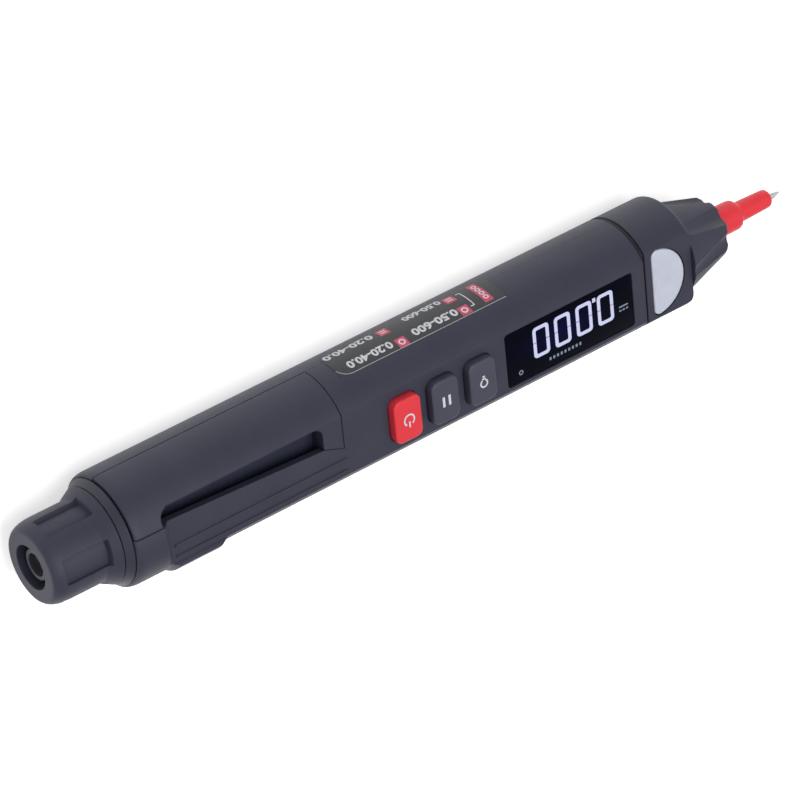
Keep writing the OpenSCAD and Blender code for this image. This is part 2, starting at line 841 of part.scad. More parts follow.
module head_shell() color(body_color) {
    difference() {
        union() {
            turned() polygon(concat([[guide_r + guide_wall, head_x], [body_r, head_x]],
                bend(head_face_r, head_end_x - shoulder_r, body_r - head_face_r, shoulder_r,
                    0, 90, 6),
                [[guide_r + guide_wall, head_end_x]]));
            turned() polygon([[body_r - wall - head_wall, head_x - head_gap - spigot_len],
                [body_r - wall - seam, head_x - head_gap - spigot_len],
                [body_r - wall - seam, head_x + over],
                [body_r - wall - head_wall, head_x + over]]);
        }
        // inside of the head, left solid at the front wall and under the lens
        difference() {
            rod_x(head_x - head_gap - spigot_len - over, head_end_x - 2 * head_wall,
                body_r - wall - head_wall);
            box(head_x, head_end_x, -body_r, body_r, lens_z - lens_t - lens_ledge_t, body_r);
        }
        // the lens face lies lower than the display face
        box(head_x - over, head_end_x + over, -body_r, body_r, lens_z, 2 * body_r);
        box(head_x - spigot_len - over - head_gap, head_x, -body_r, body_r,
            flat_z - wall - seam, 2 * body_r);
        box(head_x - spigot_len - over - head_gap, head_end_x + over, -body_r, body_r,
            -2 * body_r, -rest_z);
        box(head_x - spigot_len - over - head_gap, head_x, -body_r, body_r,
            -2 * body_r, -rest_z + wall + seam);
        translate([0, 0, lens_z - lens_t]) linear_extrude(height = lens_t + over)
            lens_plan(lens_pocket);
        translate([0, 0, lens_z - lens_t - lens_ledge_t - over])
            linear_extrude(height = lens_t + over) lens_plan(-light_margin);
    }
}

module light_lens() color(lens_color)
    translate([0, 0, lens_z - lens_t]) linear_extrude(height = lens_t) lens_plan(0);

module light_board() color(board_color)
    box(lens_x, lens_x + light_board_len, -light_board_w / 2, light_board_w / 2,
        guide_r + guide_wall, guide_r + guide_wall + light_board_t);

module light_led() color([1, 1, 0.9])
    box(lens_x + light_board_len / 2 - led_side / 2, lens_x + light_board_len / 2 + led_side / 2,
        -led_side / 2, led_side / 2, guide_r + guide_wall + light_board_t,
        guide_r + guide_wall + light_board_t + led_t);

// Plate that senses a live wire, on two feet in the head
module sensing_antenna() color(brass_color) {
    box(lens_x, lens_x + antenna_len, -antenna_w / 2, antenna_w / 2, antenna_z - antenna_t, antenna_z);
    for (x = [lens_x + foot_r, lens_x + antenna_len - foot_r])
        translate([x, 0, antenna_z]) cylinder(h = -guide_r - guide_wall - antenna_z, r = foot_r / 2);
}

// Fixed tube with a straight slot for the carrier's pin
module guide_tube() color(dark_color) {
    difference() {
        turned() polygon([[guide_r, drive_x], [guide_r + guide_wall, drive_x],
            [guide_r + guide_wall, guide_end_x], [guide_r, guide_end_x]]);
        straight_slot();
    }
}

module straight_slot() {
    w = pin_r + pin_fit;
    for (x = [pin_x - probe_travel, pin_x])
        translate([x, 0, -2 * guide_r]) cylinder(h = 2 * guide_r, r = w);
    box(pin_x - probe_travel, pin_x, -w, w, -2 * guide_r, 0);
}

// Sleeve pressed into the collar; its helix moves the pin
module cam_sleeve() color(metal_color) {
    difference() {
        turned() polygon([[sleeve_r, drive_x], [sleeve_r + sleeve_wall, drive_x],
            [sleeve_r + sleeve_wall, sleeve_end_x], [sleeve_r, sleeve_end_x]]);
        helix_slot();
    }
}

module helix_slot() {
    for (i = [0:helix_steps])
        rotate([-collar_turn * i / helix_steps, 0, 0])
            translate([pin_x - probe_travel * i / helix_steps, 0, -2 * sleeve_r])
                cylinder(h = 2 * sleeve_r, r = pin_r + pin_fit);
}

module nose_collar() color(body_color) {
    // each flute runs deeper towards the probe
    flute_tilt = atan2(collar_r - flute_rear_depth - collar_nose_r + flute_depth, collar_len);
    difference() {
        turned() polygon(concat([[guide_r + guide_wall + running, collar_x],
            [collar_r, collar_x], [collar_nose_r, collar_end_x - nose_bevel],
            [collar_nose_r - nose_bevel, collar_end_x],
            [sleeve_r, collar_end_x], [sleeve_r, sleeve_end_x],
            [sleeve_r + sleeve_wall, sleeve_end_x],
            [sleeve_r + sleeve_wall, guide_end_x + seam],
            [guide_r + guide_wall + running, guide_end_x + seam]]));
        for (i = [0:flutes - 1])
            rotate([-flute_angle - i * 360 / flutes, 0, 0])
                translate([collar_end_x, 0, collar_nose_r + flute_r - flute_depth])
                    rotate([0, -90 + flute_tilt, 0])
                        translate([0, 0, -2 * over]) cylinder(h = 2 * collar_len, r = flute_r);
    }
}

// Carrier that slides in the sleeve with the probe on its front end
module probe_carrier() color(dark_color) {
    difference() {
        rod_x(carrier_x, carrier_end_x, probe_r);
        rod_x(carrier_x - over, carrier_end_x + over, needle_shank_r);
        translate([pin_x, 0, -2 * guide_r]) cylinder(h = 2 * guide_r - pin_root_r, r = pin_r);
    }
}

module follower_pin() color(metal_color)
    translate([pin_x, 0, -guide_r - guide_wall + seam])
        cylinder(h = guide_r + guide_wall - seam - pin_root_r, r = pin_r);

// Brass ring at the carrier's tail that joins the needle to the spring strip
module contact_ring() color(brass_color)
    turned() polygon([[needle_shank_r, carrier_x - ring_contact_len],
        [probe_r, carrier_x - ring_contact_len], [probe_r, carrier_x], [needle_shank_r, carrier_x]]);

module probe_insulator() color(probe_color) {
    turned() polygon([[needle_shank_r, carrier_end_x], [probe_r, carrier_end_x],
        [probe_r, probe_step_x], [probe_thin_r, probe_step_x + probe_step_len],
        [probe_thin_r * 0.93, insulator_end_x - tip_round],
        [probe_thin_r * 0.75, insulator_end_x], [needle_shank_r, insulator_end_x]]);
}

module probe_needle() color(metal_color) {
    turned() polygon([[0, carrier_x - ring_contact_len],
        [needle_shank_r, carrier_x - ring_contact_len], [needle_shank_r, insulator_end_x],
        [needle_r, insulator_end_x], [needle_r, tip_x - needle_point],
        [needle_point_r, tip_x], [0, tip_x]]);
}

// Spring strip under the board that the carrier's ring slides along
module probe_wiper() color(brass_color) {
    x0 = carrier_x - ring_contact_len - probe_travel;
    z0 = probe_r + loose;
    box(x0, carrier_x, -wiper_w / 2, wiper_w / 2, z0, z0 + wiper_t);
    box(x0 - wiper_w, x0, -wiper_w / 2, wiper_w / 2, z0, board_z);
}

upper_shell();
lower_shell();
battery_cover();
socket_cap();
cap_ring();
socket_insulator();
socket_contact();
socket_lead();
battery_cradle();
battery_cell_1();
battery_cell_2();
battery_springs();
battery_link_plate();
case_screws();
main_board();
meter_chip();
input_thermistor();
buzzer();
key_switches();
key_pad();
power_button();
hold_button();
function_button();
backlight_panel();
lcd_glass();
elastomer_strips();
display_window();
legend_label();
head_gasket();
head_shell();
light_lens();
light_board();
light_led();
sensing_antenna();
guide_tube();
nose_collar();
cam_sleeve();
probe_carrier();
follower_pin();
contact_ring();
probe_insulator();
probe_needle();
probe_wiper();
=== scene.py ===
"""Looks of a pen multimeter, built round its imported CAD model.

The pen's sizes are in mm, which MM turns to metres, and the studio's are in metres.
"""
import math

import bmesh
import bpy
from mathutils import Matrix, Vector


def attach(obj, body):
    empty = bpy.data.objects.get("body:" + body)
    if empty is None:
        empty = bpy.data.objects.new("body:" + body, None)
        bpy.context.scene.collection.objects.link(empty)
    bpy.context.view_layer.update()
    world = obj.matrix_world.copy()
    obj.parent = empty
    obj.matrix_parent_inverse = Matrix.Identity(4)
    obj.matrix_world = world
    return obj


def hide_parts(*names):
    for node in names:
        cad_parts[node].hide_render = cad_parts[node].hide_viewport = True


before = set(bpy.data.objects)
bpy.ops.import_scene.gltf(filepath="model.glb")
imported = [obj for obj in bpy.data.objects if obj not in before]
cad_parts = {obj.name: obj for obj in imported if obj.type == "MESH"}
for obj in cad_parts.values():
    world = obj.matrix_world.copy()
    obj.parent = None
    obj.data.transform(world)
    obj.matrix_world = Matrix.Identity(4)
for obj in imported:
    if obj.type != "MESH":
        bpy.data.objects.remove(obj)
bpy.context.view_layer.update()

# Studio. A pale floor that the pen's back rests on, big soft boxes above it, and the camera
# of the photograph: a long lens from behind and above, rolled as the picture is.
MM = 0.001


def linear(code):
    """sRGB hex to linear RGBA."""
    parts = [int(code[i:i + 2], 16) / 255 for i in (1, 3, 5)]
    light = [c / 12.92 if c <= 0.04045 else ((c + 0.055) / 1.055) ** 2.4 for c in parts]
    return (*light, 1.0)


def add(tree, kind, settings=None, inputs=None):
    """Adds a node, with its settings, its socket values and its links."""
    new = tree.nodes.new(kind)
    for key, value in (settings or {}).items():
        setattr(new, key, value)
    for key, value in (inputs or {}).items():
        if isinstance(value, bpy.types.NodeSocket):
            tree.links.new(value, new.inputs[key])
        else:
            new.inputs[key].default_value = value
    return new


def bare_material(name):
    """A material with only its output, and the position on the object in metres."""
    made = bpy.data.materials.new(name)
    made.use_nodes = True
    tree = made.node_tree
    tree.nodes.clear()
    output = add(tree, "ShaderNodeOutputMaterial")
    place = add(tree, "ShaderNodeTexCoord").outputs["Object"]
    return made, tree, output, place


FOCAL_LENGTH = 230.73
SENSOR_WIDTH = 36
SIGHT_END = 20.0
CAMERA_RIGHT = Vector((0.7858, -0.0895, 0.6120))
CAMERA_UP = Vector((0.3966, 0.8322, -0.3875))
CAMERA_BACK = Vector((-0.4746, 0.5472, 0.6895))
CAMERA_PLACE = Vector((-410.1, 570.8, 724.5)) * MM

camera_data = bpy.data.cameras.new("photo_camera")
camera_data.lens = FOCAL_LENGTH
camera_data.sensor_width = SENSOR_WIDTH
camera_data.clip_end = SIGHT_END
camera = bpy.data.objects.new("photo_camera", camera_data)
bpy.context.scene.collection.objects.link(camera)
turn = Matrix((CAMERA_RIGHT, CAMERA_UP, CAMERA_BACK)).transposed().to_4x4()
camera.matrix_world = Matrix.Translation(CAMERA_PLACE) @ turn
bpy.context.scene.camera = camera
bpy.context.scene.view_settings.view_transform = "Standard"

FLOOR_Z = -11.45 * MM
FLOOR_HALF = 4.0
floor_mesh = bpy.data.meshes.new("studio_floor")
floor_mesh.from_pydata([(sx * FLOOR_HALF, sy * FLOOR_HALF, FLOOR_Z)
                        for sx, sy in ((-1, -1), (1, -1), (1, 1), (-1, 1))], [], [(0, 1, 2, 3)])
floor = bpy.data.objects.new("studio_floor", floor_mesh)
bpy.context.scene.collection.objects.link(floor)

# Matt paper gives a soft shadow and no gloss. To the camera, and in a gloss or through a clear
# piece, it also glows, so that it looks white there while it lights the pen no more than paper.
PAPER_FIBRE = 2 * MM
PAPER_GLOW = 0.62
paper, tree, output, place = bare_material("matt white studio paper")
fibres = add(tree, "ShaderNodeTexNoise",
             inputs={"Vector": place, "Scale": 1 / PAPER_FIBRE, "Detail": 3})
paper_tint = add(tree, "ShaderNodeMix", {"data_type": "RGBA"},
                 {"Factor": fibres.outputs["Fac"], "A": linear("#F4F4F4"), "B": linear("#FFFFFF")})
sheet = add(tree, "ShaderNodeBsdfDiffuse", inputs={"Color": paper_tint.outputs["Result"]})
glow = add(tree, "ShaderNodeEmission", inputs={"Color": (1, 1, 1, 1), "Strength": PAPER_GLOW})
lit_sheet = add(tree, "ShaderNodeAddShader", inputs={0: sheet.outputs[0], 1: glow.outputs[0]})
rays = add(tree, "ShaderNodeLightPath")
seen = add(tree, "ShaderNodeMath", {"operation": "MAXIMUM"},
           {0: rays.outputs["Is Camera Ray"], 1: rays.outputs["Is Glossy Ray"]})
seen = add(tree, "ShaderNodeMath", {"operation": "MAXIMUM"},
           {0: seen.outputs[0], 1: rays.outputs["Is Transmission Ray"]})
shown = add(tree, "ShaderNodeMixShader",
            inputs={0: seen.outputs[0], 1: sheet.outputs[0], 2: lit_sheet.outputs[0]})
tree.links.new(shown.outputs[0], output.inputs["Surface"])
floor_mesh.materials.append(paper)

# The air is white to the camera and a dim even light to the pen. In a gloss it shows at part
# strength, so that the dark plastic stays dark.
ROOM_LIGHT = 0.34
GLOSS_SHARE = 0.35
world = bpy.data.worlds.new("studio_air")
bpy.context.scene.world = world
world.use_nodes = True
tree = world.node_tree
tree.nodes.clear()
rays = add(tree, "ShaderNodeLightPath")
seen = add(tree, "ShaderNodeMath", {"operation": "MAXIMUM"},
           {0: rays.outputs["Is Camera Ray"], 1: rays.outputs["Is Transmission Ray"]})
mirrored = add(tree, "ShaderNodeMath", {"operation": "MULTIPLY"},
               {0: rays.outputs["Is Glossy Ray"], 1: GLOSS_SHARE})
seen = add(tree, "ShaderNodeMath", {"operation": "MAXIMUM"},
           {0: seen.outputs[0], 1: mirrored.outputs[0]})
room = add(tree, "ShaderNodeBackground", inputs={"Color": (1, 1, 1, 1), "Strength": ROOM_LIGHT})
white = add(tree, "ShaderNodeBackground", inputs={"Color": (1, 1, 1, 1), "Strength": 1.0})
shown = add(tree, "ShaderNodeMixShader",
            inputs={0: seen.outputs[0], 1: room.outputs[0], 2: white.outputs[0]})
add(tree, "ShaderNodeOutputWorld", inputs={"Surface": shown.outputs[0]})

PEN_MIDDLE = Vector((0.095, 0, 0))


def soft_box(name, place, size, watts):
    """A square lamp of a size in metres that faces the middle of the pen."""
    lamp = bpy.data.lights.new(name, "AREA")
    lamp.shape = "SQUARE"
    lamp.size = size
    lamp.energy = watts
    holder = bpy.data.objects.new(name, lamp)
    bpy.context.scene.collection.objects.link(holder)
    holder.location = place
    holder.rotation_euler = (PEN_MIDDLE - Vector(place)).to_track_quat("-Z", "Y").to_euler()


soft_box("key_box", place=(0.1, 0.2, 1.05), size=0.9, watts=6.6)
soft_box("fill_box", place=(-0.9, -0.1, 0.6), size=0.8, watts=1.1)
soft_box("front_box", place=(0.95, -0.1, 0.5), size=0.6, watts=0.3)

# Housing halves. Injection moulded ABS, blue grey, its mould spark eroded, which leaves
# a fine even grain that breaks up the gloss and a faint cloudiness in the pigment.
# The grain's noise lies mostly within NOISE_RANGE, and shifts tint and roughness a little.
CLOUD_SIZE = 9 * MM
NOISE_RANGE = (0.3, 0.7)
SPECK_SHARE = 0.35
SPECK_SHIFT = -0.17
ROUGH_SPREAD = (-0.05, 0.06)
WORN_EDGE = 0.35 * MM


def moulded(name, deep, pale, rough, grain, relief):
    """Moulded plastic or rubber, with its mould's grain and edges that catch light as if worn."""
    made, tree, output, place = bare_material(name)
    cloud = add(tree, "ShaderNodeTexNoise",
                inputs={"Vector": place, "Scale": 1 / CLOUD_SIZE, "Detail": 4, "Roughness": 0.6})
    speck = add(tree, "ShaderNodeTexNoise",
                inputs={"Vector": place, "Scale": 1 / (grain * MM), "Detail": 2})
    blend = add(tree, "ShaderNodeMath", {"operation": "MULTIPLY_ADD"},
                {0: speck.outputs["Fac"], 1: SPECK_SHARE, 2: SPECK_SHIFT})
    share = add(tree, "ShaderNodeMath", {"operation": "ADD", "use_clamp": True},
                {0: cloud.outputs["Fac"], 1: blend.outputs[0]})
    tint = add(tree, "ShaderNodeMix", {"data_type": "RGBA"},
               {"Factor": share.outputs[0], "A": linear(deep), "B": linear(pale)})
    gloss = add(tree, "ShaderNodeMapRange",
                inputs={"Value": speck.outputs["Fac"],
                        "From Min": NOISE_RANGE[0], "From Max": NOISE_RANGE[1],
                        "To Min": rough + ROUGH_SPREAD[0], "To Max": rough + ROUGH_SPREAD[1]})
    edge = add(tree, "ShaderNodeBevel", {"samples": 6}, {"Radius": WORN_EDGE})
    bump = add(tree, "ShaderNodeBump",
               inputs={"Height": speck.outputs["Fac"], "Distance": relief * MM, "Strength": 0.5,
                       "Normal": edge.outputs["Normal"]})
    skin = add(tree, "ShaderNodeBsdfPrincipled",
               inputs={"Base Color": tint.outputs["Result"], "Roughness": gloss.outputs["Result"],
                       "Normal": bump.outputs["Normal"], "IOR": 1.54,
                       "Specular IOR Level": 0.3})
    tree.links.new(skin.outputs[0], output.inputs["Surface"])
    return made


def dress(names, material):
    """Gives CAD nodes their material."""
    for name in names:
        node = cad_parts[name]
        node.data.materials.clear()
        node.data.materials.append(material)


# The mould's grain of 0.1 mm, drawn at 0.3 mm so that it shows. It gives the case a dull, even
# sheen with no sharp reflection.
case_plastic = moulded("spark eroded ABS", "#323342", "#3D3E4F", rough=0.5, grain=0.3, relief=0.02)
dress(["upper_shell", "lower_shell"], case_plastic)

# Battery bay. The cover is moulded from the housing's ABS. Under it a darker cradle holds
# two cells in plain printed sleeves between nickel plated springs and a pressed plate.
dress(["battery_cover"], case_plastic)

# Glass fibres near the surface make this nylon dull and a little mottled.
inner_plastic = moulded("black glass filled nylon", "#262A3A", "#32364A",
                        rough=0.5, grain=0.35, relief=0.02)
dress(["battery_cradle", "guide_tube", "probe_carrier"], inner_plastic)

DRAWN_STRETCH = (0.15, 1.0, 1.0)
ROUGH_SHARES = (0.8, 1.25)


def plated(name, tone, rough, scratch):
    """Plated metal, with fine drawn marks along the pen."""
    made, tree, output, place = bare_material(name)
    stretch = add(tree, "ShaderNodeMapping", inputs={"Vector": place, "Scale": DRAWN_STRETCH})
    marks = add(tree, "ShaderNodeTexNoise",
                inputs={"Vector": stretch.outputs[0], "Scale": 1 / (scratch * MM), "Detail": 3})
    gloss = add(tree, "ShaderNodeMapRange",
                inputs={"Value": marks.outputs["Fac"],
                        "From Min": NOISE_RANGE[0], "From Max": NOISE_RANGE[1],
                        "To Min": rough * ROUGH_SHARES[0], "To Max": rough * ROUGH_SHARES[1]})
    bump = add(tree, "ShaderNodeBump", inputs={"Height": marks.outputs["Fac"],
                                               "Distance": 0.004 * MM, "Strength": 0.4})
    skin = add(tree, "ShaderNodeBsdfPrincipled",
               inputs={"Base Color": linear(tone), "Metallic": 1.0,
                       "Roughness": gloss.outputs["Result"], "Normal": bump.outputs["Normal"]})
    tree.links.new(skin.outputs[0], output.inputs["Surface"])
    return made


# Nickel is a warm white and the brightest of the metals, zinc is greyer and duller, and tin
# over brass is pale straw. Their marks, finer than 0.05 mm, are drawn at 0.2 mm or more.
nickel = plated("nickel plated steel", "#E4E1DC", rough=0.27, scratch=0.2)
zinc = plated("zinc plated steel", "#B9BCC0", rough=0.38, scratch=0.25)
tinned_brass = plated("tinned brass", "#C9C2B4", rough=0.34, scratch=0.2)
dress(["battery_springs", "battery_link_plate"], nickel)

# The sleeve is shiny printed film, dark with a copper end, and the can shows at both ends.
CELL_ENDS = (21.4 * MM, 65.9 * MM)
SLEEVE_WRINKLE = 3 * MM
CELL_BANDS = ((0.0, "#B7B9BC"), (0.03, "#26282C"), (0.7, "#B86F3C"), (0.975, "#B7B9BC"))
cell_sleeve, tree, output, place = bare_material("printed cell sleeve and steel can")
along = add(tree, "ShaderNodeSeparateXYZ", inputs={"Vector": place})
share = add(tree, "ShaderNodeMapRange",
            inputs={"Value": along.outputs["X"],
                    "From Min": CELL_ENDS[0], "From Max": CELL_ENDS[1]})
band = add(tree, "ShaderNodeValToRGB", inputs={"Fac": share.outputs["Result"]})
band.color_ramp.interpolation = "CONSTANT"
stops = band.color_ramp.elements
stops[1].position = CELL_BANDS[1][0]
for position, tone in CELL_BANDS[2:]:
    stops.new(position)
for stop, (position, tone) in zip(stops, CELL_BANDS):
    stop.color = linear(tone)
wrinkle = add(tree, "ShaderNodeTexNoise",
              inputs={"Vector": place, "Scale": 1 / SLEEVE_WRINKLE})
bump = add(tree, "ShaderNodeBump", inputs={"Height": wrinkle.outputs["Fac"],
                                           "Distance": 0.02 * MM, "Strength": 0.3})
skin = add(tree, "ShaderNodeBsdfPrincipled",
           inputs={"Base Color": band.outputs["Color"], "Roughness": 0.3, "Metallic": 0.35,
                   "Normal": bump.outputs["Normal"]})
tree.links.new(skin.outputs[0], output.inputs["Surface"])
dress(["battery_cell_1", "battery_cell_2"], cell_sleeve)

# Rear cap and lead socket. The cap is the housing's ABS with five grip ribs. The ring behind
# it and the insulating tube come from smoother moulds, and the contact is tinned brass.
dress(["socket_cap"], case_plastic)

# A polished mould leaves less grain, so the ring and the tube shine more than the case.
ring_plastic = moulded("smooth ABS ring", "#31323F", "#3B3C4B", rough=0.42, grain=0.3, relief=0.01)
tube_plastic = moulded("grey polyamide tube", "#3A3B45", "#4A4B55",
                       rough=0.42, grain=0.3, relief=0.01)
dress(["cap_ring"], ring_plastic)
dress(["socket_insulator"], tube_plastic)
dress(["socket_contact"], tinned_brass)

# Soft PVC over the wire has a waxy sheen.
wire_sleeve = moulded("red PVC wire sleeve", "#A01820", "#B8222A",
                      rough=0.4, grain=0.3, relief=0.01)
dress(["socket_lead"], wire_sleeve)
dress(["case_screws"], zinc)

# Electronics. A green glass epoxy board with moulded parts on it, hidden in use, and seen
# only when the pen is opened.

# Solder mask is a shiny green lacquer in which the glass weave, 0.8 mm wide, just shows.
WEAVE_WIDTH = 0.8 * MM
MASK_PATCH = 4 * MM
board, tree, output, place = bare_material("solder mask on glass epoxy")
weave = add(tree, "ShaderNodeTexWave", {"bands_direction": "DIAGONAL"},
            {"Vector": place, "Scale": 1 / WEAVE_WIDTH, "Distortion": 2})
patches = add(tree, "ShaderNodeTexNoise", inputs={"Vector": place, "Scale": 1 / MASK_PATCH})
share = add(tree, "ShaderNodeMath", {"operation": "MULTIPLY"},
            {0: weave.outputs["Fac"], 1: patches.outputs["Fac"]})
tint = add(tree, "ShaderNodeMix", {"data_type": "RGBA"},
           {"Factor": share.outputs[0], "A": linear("#0F4A2A"), "B": linear("#1C6B3E")})
skin = add(tree, "ShaderNodeBsdfPrincipled",
           inputs={"Base Color": tint.outputs["Result"], "Roughness": 0.35, "IOR": 1.5})
tree.links.new(skin.outputs[0], output.inputs["Surface"])
dress(["main_board", "light_board"], board)

# Moulding compound is nearly black and dull. The disc's dipped lacquer is glossy and uneven,
# the rubber is black with no gloss, and the light guide is a milky white.
compound = moulded("epoxy moulding compound", "#17181A", "#212224",
                   rough=0.55, grain=0.25, relief=0.02)
dipped_lacquer = moulded("dipped blue lacquer", "#1E3E6E", "#274C80",
                         rough=0.25, grain=1.2, relief=0.03)
rubber = moulded("black silicone rubber", "#14161F", "#1E202C", rough=0.6, grain=0.4, relief=0.01)
light_guide = moulded("white light guide", "#D8DAD6", "#E6E8E4", rough=0.3, grain=1.0, relief=0.01)
dress(["meter_chip", "buzzer"], compound)
dress(["input_thermistor"], dipped_lacquer)
dress(["key_switches"], nickel)
dress(["key_pad", "elastomer_strips", "head_gasket"], rubber)
dress(["backlight_panel"], light_guide)
dress(["sensing_antenna", "contact_ring", "probe_wiper"], tinned_brass)
dress(["cam_sleeve", "follower_pin"], zinc)

# Buttons. Three moulded keys stand out of the face, the first in red, the others like
# the case but glossier. Each is a rounded block with a soft edge and a printed sign.
SHARP_ANGLE = math.radians(38)


def loft(name, rings, material, body):
    """A closed skin over rings of points in mm, first and last ring filled."""
    mesh = bpy.data.meshes.new(name)
    work = bmesh.new()
    rows = [[work.verts.new(Vector(p) * MM) for p in ring] for ring in rings]
    count = len(rows[0])
    for low, high in zip(rows, rows[1:]):
        for i in range(count):
            j = (i + 1) % count
            work.faces.new((low[i], low[j], high[j], high[i]))
    work.faces.new(list(reversed(rows[0])))
    work.faces.new(rows[-1])
    bmesh.ops.recalc_face_normals(work, faces=work.faces)
    work.to_mesh(mesh)
    work.free()
    mesh.materials.append(material)
    mesh.shade_smooth()
    mesh.set_sharp_from_angle(angle=SHARP_ANGLE)
    made = bpy.data.objects.new(name, mesh)
    bpy.context.scene.collection.objects.link(made)
    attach(made, body)
    return made


CORNER_STEPS = 8


def round_rect(length, width, radius, middle, z):
    """Points round a rectangle with round corners, at one height."""
    points = []
    for sx, sy, start in ((1, 1, 0), (-1, 1, 90), (-1, -1, 180), (1, -1, 270)):
        for i in range(CORNER_STEPS + 1):
            a = math.radians(start + 90 * i / CORNER_STEPS)
            points.append((middle[0] + sx * (length / 2 - radius) + radius * math.cos(a),
                           middle[1] + sy * (width / 2 - radius) + radius * math.sin(a), z))
    return points


KEY_XS = {"power_button": 82.0, "hold_button": 91.7, "function_button": 101.4}
KEY_Y = -0.2
KEY_LENGTH = 6.8
KEY_WIDTH = 10.0
KEY_CORNER = 1.6
KEY_EDGE = 0.4
KEY_EDGE_STEPS = 6
KEY_TOP = 12.2
KEY_FOOT = 7.7
KEY_LIP = 0.9
KEY_LIP_TOP = 8.4
KEY_CROWN = 0.12
KEY_CROWN_SHARES = (0.75, 0.5, 0.25, 0.05)
FACE_Z = 10.2


def key_cap(name, material):
    """A key with a lip inside the case, straight sides, a soft edge and a slightly raised top."""
    middle = (KEY_XS[name], KEY_Y)
    rings = []
    for grow, z in ((KEY_LIP, KEY_FOOT), (KEY_LIP, KEY_LIP_TOP), (0, KEY_LIP_TOP), (0, FACE_Z),
                    (0, KEY_TOP - KEY_EDGE)):
        rings.append(round_rect(KEY_LENGTH + 2 * grow, KEY_WIDTH + 2 * grow, KEY_CORNER,
                                middle, z))
    for i in range(1, KEY_EDGE_STEPS + 1):
        a = math.radians(90 * i / KEY_EDGE_STEPS)
        inset = KEY_EDGE * (1 - math.cos(a))
        z = KEY_TOP - KEY_CROWN - KEY_EDGE + KEY_EDGE * math.sin(a)
        rings.append(round_rect(KEY_LENGTH - 2 * inset, KEY_WIDTH - 2 * inset,
                                KEY_CORNER - inset / 2, middle, z))
    for share in KEY_CROWN_SHARES:
        rings.append(round_rect((KEY_LENGTH - 2 * KEY_EDGE) * share,
                                (KEY_WIDTH - 2 * KEY_EDGE) * share,
                                (KEY_CORNER - KEY_EDGE / 2) * share, middle,
                                KEY_TOP - KEY_CROWN * share ** 2))
    made = loft(name + "_key", rings, material, name)
    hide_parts(name)


# Satin ABS from a smoother mould than the case's, so the keys catch more light. The red is
# bright and clear, and the grey a shade lighter than the case.
red_key = moulded("satin red ABS", "#EE3440", "#F8444E", rough=0.4, grain=0.3, relief=0.008)
dark_key = moulded("satin grey ABS", "#424252", "#4F4F60", rough=0.42, grain=0.3, relief=0.01)
key_cap("power_button", red_key)
key_cap("hold_button", dark_key)
key_cap("function_button", dark_key)

INK_PATCH = 0.4 * MM
THIN_INK = 0.88


def print_ink(name, tone, strength=0.0):
    """Pad or screen printed ink, a little uneven in cover, or a lit sign that has a strength."""
    made, tree, output, place = bare_material(name)
    cover = add(tree, "ShaderNodeTexNoise", inputs={"Vector": place, "Scale": 1 / INK_PATCH})
    pale = linear(tone)
    dull = (*(c * THIN_INK for c in pale[:3]), 1)
    tint = add(tree, "ShaderNodeMix", {"data_type": "RGBA"},
               {"Factor": cover.outputs["Fac"], "A": dull, "B": pale})
    inputs = {"Base Color": tint.outputs["Result"], "Roughness": 0.5}
    if strength:
        inputs["Base Color"] = linear("#101018")
        inputs["Specular IOR Level"] = 0.1
        inputs["Emission Color"] = tint.outputs["Result"]
        inputs["Emission Strength"] = strength
    skin = add(tree, "ShaderNodeBsdfPrincipled", inputs=inputs)
    tree.links.new(skin.outputs[0], output.inputs["Surface"])
    return made


MAX_CUTS = 4


def cut_fine(work, cell):
    """Splits edges longer than a cell, so that flat print can follow a round surface."""
    if all(edge.calc_length() <= cell for edge in work.edges):
        return
    bmesh.ops.triangulate(work, faces=work.faces)
    for _ in range(MAX_CUTS):
        long_edges = [edge for edge in work.edges if edge.calc_length() > cell]
        if not long_edges:
            return
        bmesh.ops.subdivide_edges(work, edges=long_edges, cuts=1)
        bmesh.ops.triangulate(work, faces=[face for face in work.faces if len(face.verts) > 3])


ORDER_DECIMALS = 7


def fixed_order(items, numbers):
    """Puts corners or faces in order of their numbers, as extruding leaves them in any order."""
    ordered = sorted(items, key=lambda item: [round(n, ORDER_DECIMALS) for n in numbers(item)])
    rank = {item: i for i, item in enumerate(ordered)}
    items.sort(key=lambda item: rank[item])


def corner_numbers(corner):
    """A corner's place, and the sum of its faces' places for corners that share one."""
    return (*corner.co, *sum((f.calc_center_median() for f in corner.link_faces), Vector()))


def face_numbers(face):
    """A face's place, and its direction for faces back to back."""
    return (*face.calc_center_median(), *face.normal)


def lay_print(name, work, to_space, material, body, film, cell):
    """Gives flat shapes a film's thickness and lays them where to_space(u, v, height) says."""
    cut_fine(work, cell)
    grown = bmesh.ops.extrude_face_region(work, geom=list(work.faces))
    top = {v for v in grown["geom"] if isinstance(v, bmesh.types.BMVert)}
    for v in work.verts:
        v.co = Vector(to_space(v.co.x, v.co.y, film if v in top else 0.0)) * MM
    bmesh.ops.recalc_face_normals(work, faces=work.faces)
    work.normal_update()
    fixed_order(work.verts, corner_numbers)
    fixed_order(work.faces, face_numbers)
    mesh = bpy.data.meshes.new(name)
    work.to_mesh(mesh)
    work.free()
    mesh.materials.append(material)
    made = bpy.data.objects.new(name, mesh)
    bpy.context.scene.collection.objects.link(made)
    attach(made, body)
    return made


def printed(name, outlines, to_space, material, body, film=0.03, cell=1.2):
    """Thin printed shapes, drawn as outlines in mm."""
    work = bmesh.new()
    for outline in outlines:
        work.faces.new([work.verts.new((u, v, 0)) for u, v in outline])
    return lay_print(name, work, to_space, material, body, film, cell)


